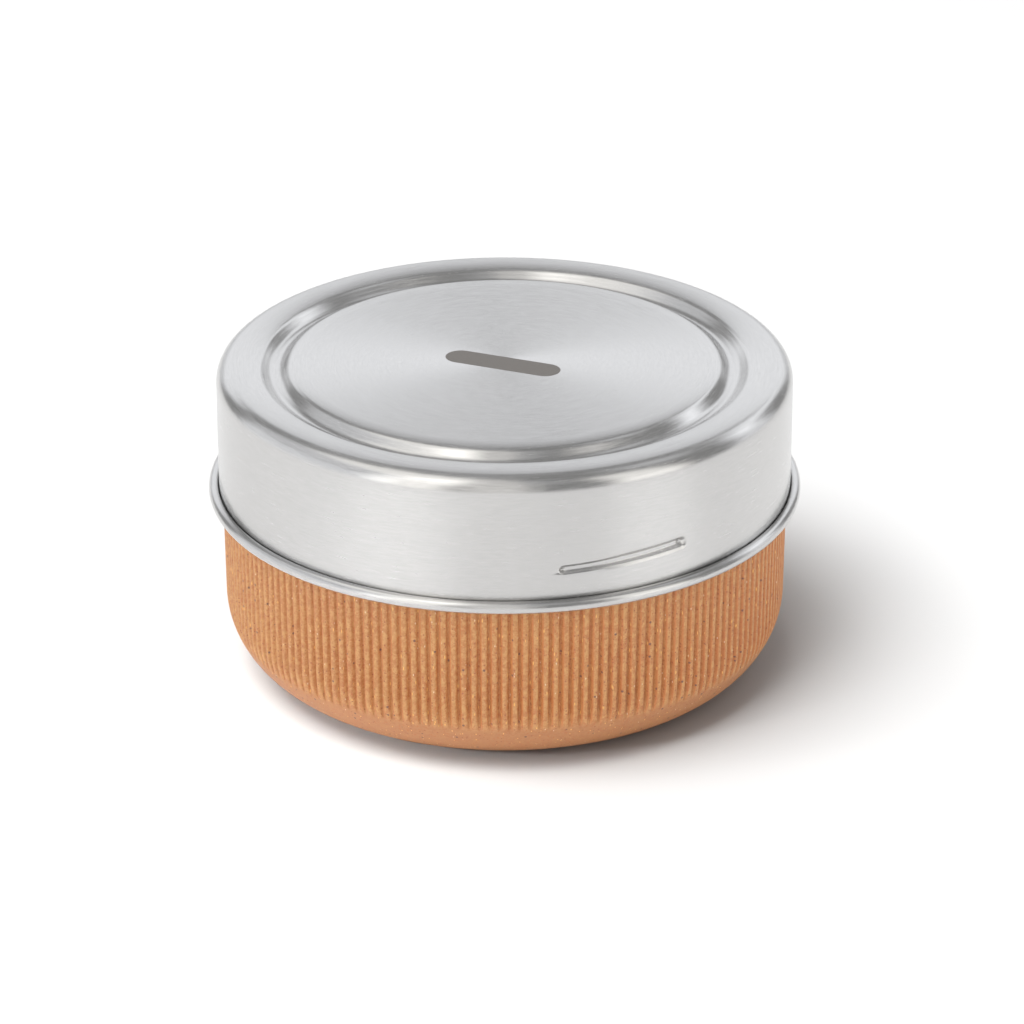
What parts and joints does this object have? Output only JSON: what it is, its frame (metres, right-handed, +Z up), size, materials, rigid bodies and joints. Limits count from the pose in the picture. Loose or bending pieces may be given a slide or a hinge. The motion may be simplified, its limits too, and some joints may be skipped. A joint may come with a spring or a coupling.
{
  "type": "lunch bowl",
  "caption": "Round steel lunch bowl in a ribbed wood-fibre composite sleeve, closed by a twist-on steel lid with a pressed ring groove and a silicone seal.",
  "frame": {"origin": "centre of the base, on the surface that the bowl stands on", "axes": "+Z up along the axis of the bowl, -Y towards the viewer, +X to the viewer's right"},
  "size_m": [0.16, 0.16, 0.0861],
  "materials": {
    "lid_steel": "brushed stainless steel: round the axis on the top, level on the wall",
    "silicone": "translucent white silicone, matte",
    "bowl_steel": "satin stainless steel",
    "composite": "orange-brown wood-fibre composite with dark specks, orange flecks and pale fibres, matte",
    "adhesive": "cured adhesive, matte"
  },
  "bodies": {
    "bowl": {"steel_bowl": "bowl_steel", "ribbed_sleeve": "composite", "bond_pad": "adhesive"},
    "seal": {"lid_gasket": "silicone"},
    "lid": {"lid_shell": "lid_steel"}
  },
  "joints": [
    {"name": "lid_lift", "type": "slide", "parent": "bowl", "child": "seal", "axis": [0, 0, 1], "range_m": [0, 0.12]},
    {"name": "lid_twist", "type": "hinge", "parent": "seal", "child": "lid", "pos_m": [0, 0, 0.0861], "axis": [0, 0, 1], "range_deg": [-30, 0]}
  ]
}
